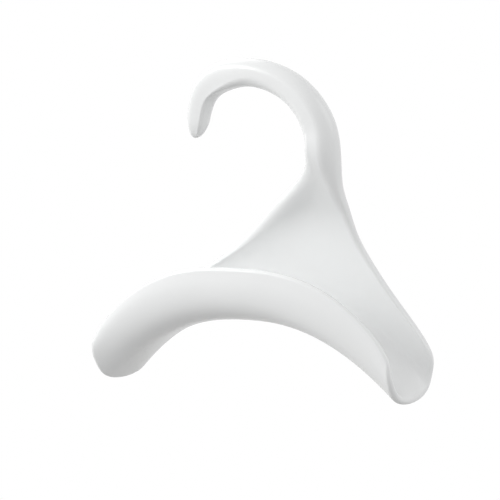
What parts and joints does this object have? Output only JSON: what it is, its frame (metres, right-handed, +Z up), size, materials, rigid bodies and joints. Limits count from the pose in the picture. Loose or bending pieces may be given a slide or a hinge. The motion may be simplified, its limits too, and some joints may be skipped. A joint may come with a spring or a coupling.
{
  "type": "handbag hanger",
  "caption": "Handbag hanger: a broad open rail hook flares through a dished web into a saddle-shaped trough with a raised front lip that carries bag handles without creasing them.",
  "frame": {"origin": "rail seat: the underside of the hook's crown, straight above the middle of the saddle, in the middle plane of the hook", "axes": "+Z up, -Y towards the raised front lip, +X to the right as seen from the front, along the length of the saddle; the hook opens towards -X"},
  "size_m": [0.159, 0.0402, 0.1442],
  "materials": {
    "moulding": "gloss white moulded plastic",
    "strip": "gloss white moulded plastic"
  },
  "bodies": {
    "root": {"saddle_body": "moulding", "hook_back_strip": "strip"}
  },
  "joints": []
}
